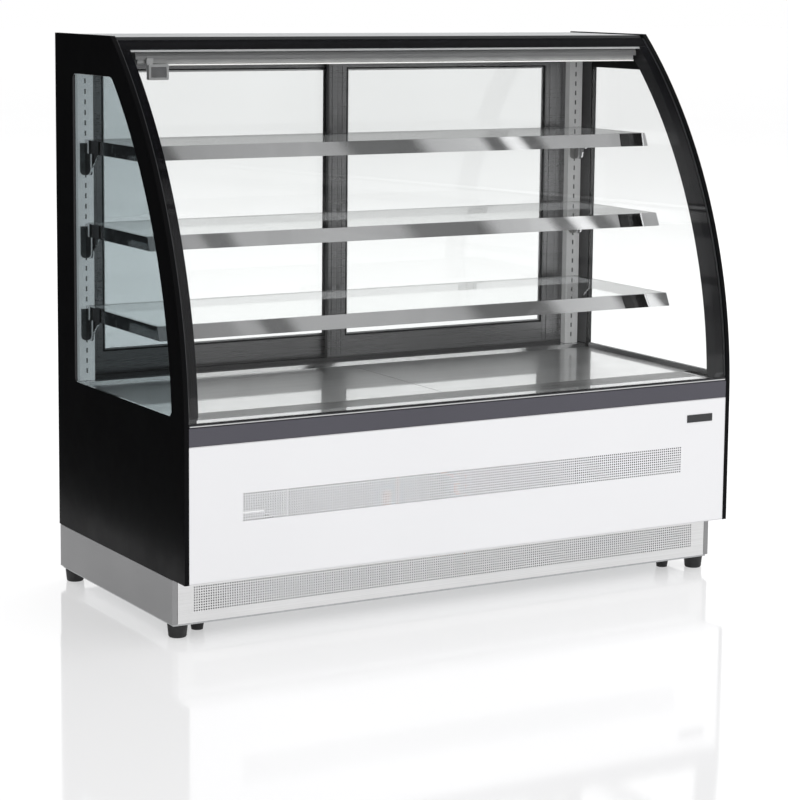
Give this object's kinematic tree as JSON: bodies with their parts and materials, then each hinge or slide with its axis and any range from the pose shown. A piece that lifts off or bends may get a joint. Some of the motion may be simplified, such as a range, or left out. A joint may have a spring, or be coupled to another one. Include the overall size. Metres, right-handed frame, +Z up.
{
  "type": "refrigerated glass display counter",
  "caption": "Free-standing refrigerated display counter with a curved tilting front glass, glass sides, height-adjustable glass shelves and rear sliding doors.",
  "frame": {"origin": "on the floor, under the middle of the cabinet", "axes": "+X to the right seen from the front, the curved glass front faces -Y, +Z up"},
  "size_m": [1.5, 0.724, 1.343],
  "materials": {
    "black_paint": "satin black moulded side",
    "foamed_steel": "stainless skins over foam",
    "roof_grey": "matt grey skins over foam",
    "white_paint": "gloss white powder coat",
    "brushed_steel": "brushed stainless",
    "polished_steel": "mirror-polished stainless",
    "bright_steel": "zinc plated",
    "galvanised": "galvanised sheet",
    "bumper_grey": "dark grey satin",
    "dark_aluminium": "dark anodised",
    "black_aluminium": "black anodised",
    "bare_aluminium": "mill finish",
    "glass": "clear float glass",
    "rubber": "matt",
    "dark_plastic": "gloss",
    "grey_plastic": "fine grain",
    "black_plastic": "fine grain",
    "green_plastic": "gloss",
    "opal_plastic": "opal",
    "compressor_black": "gloss enamel",
    "copper": "drawn copper tube"
  },
  "bodies": {
    "cabinet": {"base_frame": "galvanised", "support_feet": "rubber", "plinth_front": "brushed_steel", "plinth_sides": "brushed_steel", "front_panel": "white_paint", "badge_plate": "dark_plastic", "rear_panel": "galvanised", "rear_grille": "galvanised", "screws": "bright_steel", "bumper_rail": "bumper_grey", "glass_seal": "rubber", "side_panel_right": "black_paint", "side_panel_left": "black_paint", "side_glasses": "glass", "arch_frames": "black_aluminium", "roof_panel": "roof_grey", "header_profile": "bare_aluminium", "lamp_housing": "dark_aluminium", "lamp_diffuser": "opal_plastic", "thermometer": "grey_plastic", "uprights": "brushed_steel", "insulated_tub": "foamed_steel", "deck_plates": "polished_steel", "air_grille": "polished_steel", "evaporator_coil": "bare_aluminium", "evaporator_fan_panel": "galvanised", "door_surround": "dark_aluminium", "compressor": "compressor_black", "compressor_mounts": "rubber", "condenser_coil": "bare_aluminium", "condenser_shroud": "galvanised", "pipework": "copper", "electrical_box": "grey_plastic", "controller": "black_plastic", "switch_bodies": "black_plastic"},
    "door_left": {"door_left_frame": "dark_aluminium", "door_left_glass": "glass"},
    "door_right": {"door_right_frame": "dark_aluminium", "door_right_glass": "glass"},
    "front_glass_unit": {"front_glass": "glass", "glass_hinge_profile": "black_aluminium"},
    "shelf_top": {"shelf_top_frame": "polished_steel", "shelf_top_glass": "glass"},
    "shelf_middle": {"shelf_middle_frame": "polished_steel", "shelf_middle_glass": "glass"},
    "shelf_bottom": {"shelf_bottom_frame": "polished_steel", "shelf_bottom_glass": "glass"},
    "condenser_fan": {"condenser_fan": "black_plastic"},
    "evaporator_fan_left": {"evaporator_fan_left": "black_plastic"},
    "evaporator_fan_right": {"evaporator_fan_right": "black_plastic"},
    "tray": {"condensate_tray": "galvanised"},
    "button_set": {"button_set": "grey_plastic"},
    "button_up": {"button_up": "grey_plastic"},
    "button_down": {"button_down": "grey_plastic"},
    "power_rocker": {"power_rocker": "green_plastic"},
    "light_rocker": {"light_rocker": "black_plastic"},
    "foot_left_front": {"foot_left_front": "rubber"},
    "foot_left_rear": {"foot_left_rear": "rubber"},
    "foot_right_front": {"foot_right_front": "rubber"},
    "foot_right_rear": {"foot_right_rear": "rubber"}
  },
  "joints": [
    {"name": "door_left_slide", "type": "slide", "parent": "cabinet", "child": "door_left", "axis": [1, 0, 0], "range_m": [0, 0.64]},
    {"name": "door_right_slide", "type": "slide", "parent": "cabinet", "child": "door_right", "axis": [1, 0, 0], "range_m": [-0.64, 0]},
    {"name": "front_glass_tilt", "type": "hinge", "parent": "cabinet", "child": "front_glass_unit", "pos_m": [0, -0.3565, 0.498], "axis": [1, 0, 0], "range_deg": [0, 35]},
    {"name": "shelf_top_height", "type": "slide", "parent": "cabinet", "child": "shelf_top", "axis": [0, 0, 1], "range_m": [0, 0.1]},
    {"name": "shelf_middle_height", "type": "slide", "parent": "cabinet", "child": "shelf_middle", "axis": [0, 0, 1], "range_m": [0, 0.1]},
    {"name": "shelf_bottom_height", "type": "slide", "parent": "cabinet", "child": "shelf_bottom", "axis": [0, 0, 1], "range_m": [0, 0.1]},
    {"name": "condenser_fan_spin", "type": "hinge", "parent": "cabinet", "child": "condenser_fan", "pos_m": [0.23, -0.118, 0.19], "axis": [0, 1, 0], "continuous": true},
    {"name": "evaporator_fan_left_spin", "type": "hinge", "parent": "cabinet", "child": "evaporator_fan_left", "pos_m": [-0.23, 0.111, 0.431], "axis": [0, 1, 0], "continuous": true},
    {"name": "evaporator_fan_right_spin", "type": "hinge", "parent": "cabinet", "child": "evaporator_fan_right", "pos_m": [0.23, 0.111, 0.431], "axis": [0, 1, 0], "continuous": true},
    {"name": "tray_slide", "type": "slide", "parent": "cabinet", "child": "tray", "axis": [0, 1, 0], "range_m": [0, 0.25]},
    {"name": "button_set_press", "type": "slide", "parent": "cabinet", "child": "button_set", "axis": [0, -1, 0], "range_m": [0, 0.001], "stiffness_N_per_m": 400},
    {"name": "button_up_press", "type": "slide", "parent": "cabinet", "child": "button_up", "axis": [0, -1, 0], "range_m": [0, 0.001], "stiffness_N_per_m": 400},
    {"name": "button_down_press", "type": "slide", "parent": "cabinet", "child": "button_down", "axis": [0, -1, 0], "range_m": [0, 0.001], "stiffness_N_per_m": 400},
    {"name": "power_rocker_tilt", "type": "hinge", "parent": "cabinet", "child": "power_rocker", "pos_m": [-0.535, 0.354, 0.421], "axis": [1, 0, 0], "range_deg": [0, 8]},
    {"name": "light_rocker_tilt", "type": "hinge", "parent": "cabinet", "child": "light_rocker", "pos_m": [-0.5, 0.354, 0.421], "axis": [1, 0, 0], "range_deg": [0, 8]},
    {"name": "foot_left_front_turn", "type": "hinge", "parent": "cabinet", "child": "foot_left_front", "pos_m": [-0.723, -0.265, 0], "axis": [0, 0, 1], "continuous": true},
    {"name": "foot_left_rear_turn", "type": "hinge", "parent": "cabinet", "child": "foot_left_rear", "pos_m": [-0.723, 0.33, 0], "axis": [0, 0, 1], "continuous": true},
    {"name": "foot_right_front_turn", "type": "hinge", "parent": "cabinet", "child": "foot_right_front", "pos_m": [0.723, -0.265, 0], "axis": [0, 0, 1], "continuous": true},
    {"name": "foot_right_rear_turn", "type": "hinge", "parent": "cabinet", "child": "foot_right_rear", "pos_m": [0.723, 0.33, 0], "axis": [0, 0, 1], "continuous": true}
  ]
}
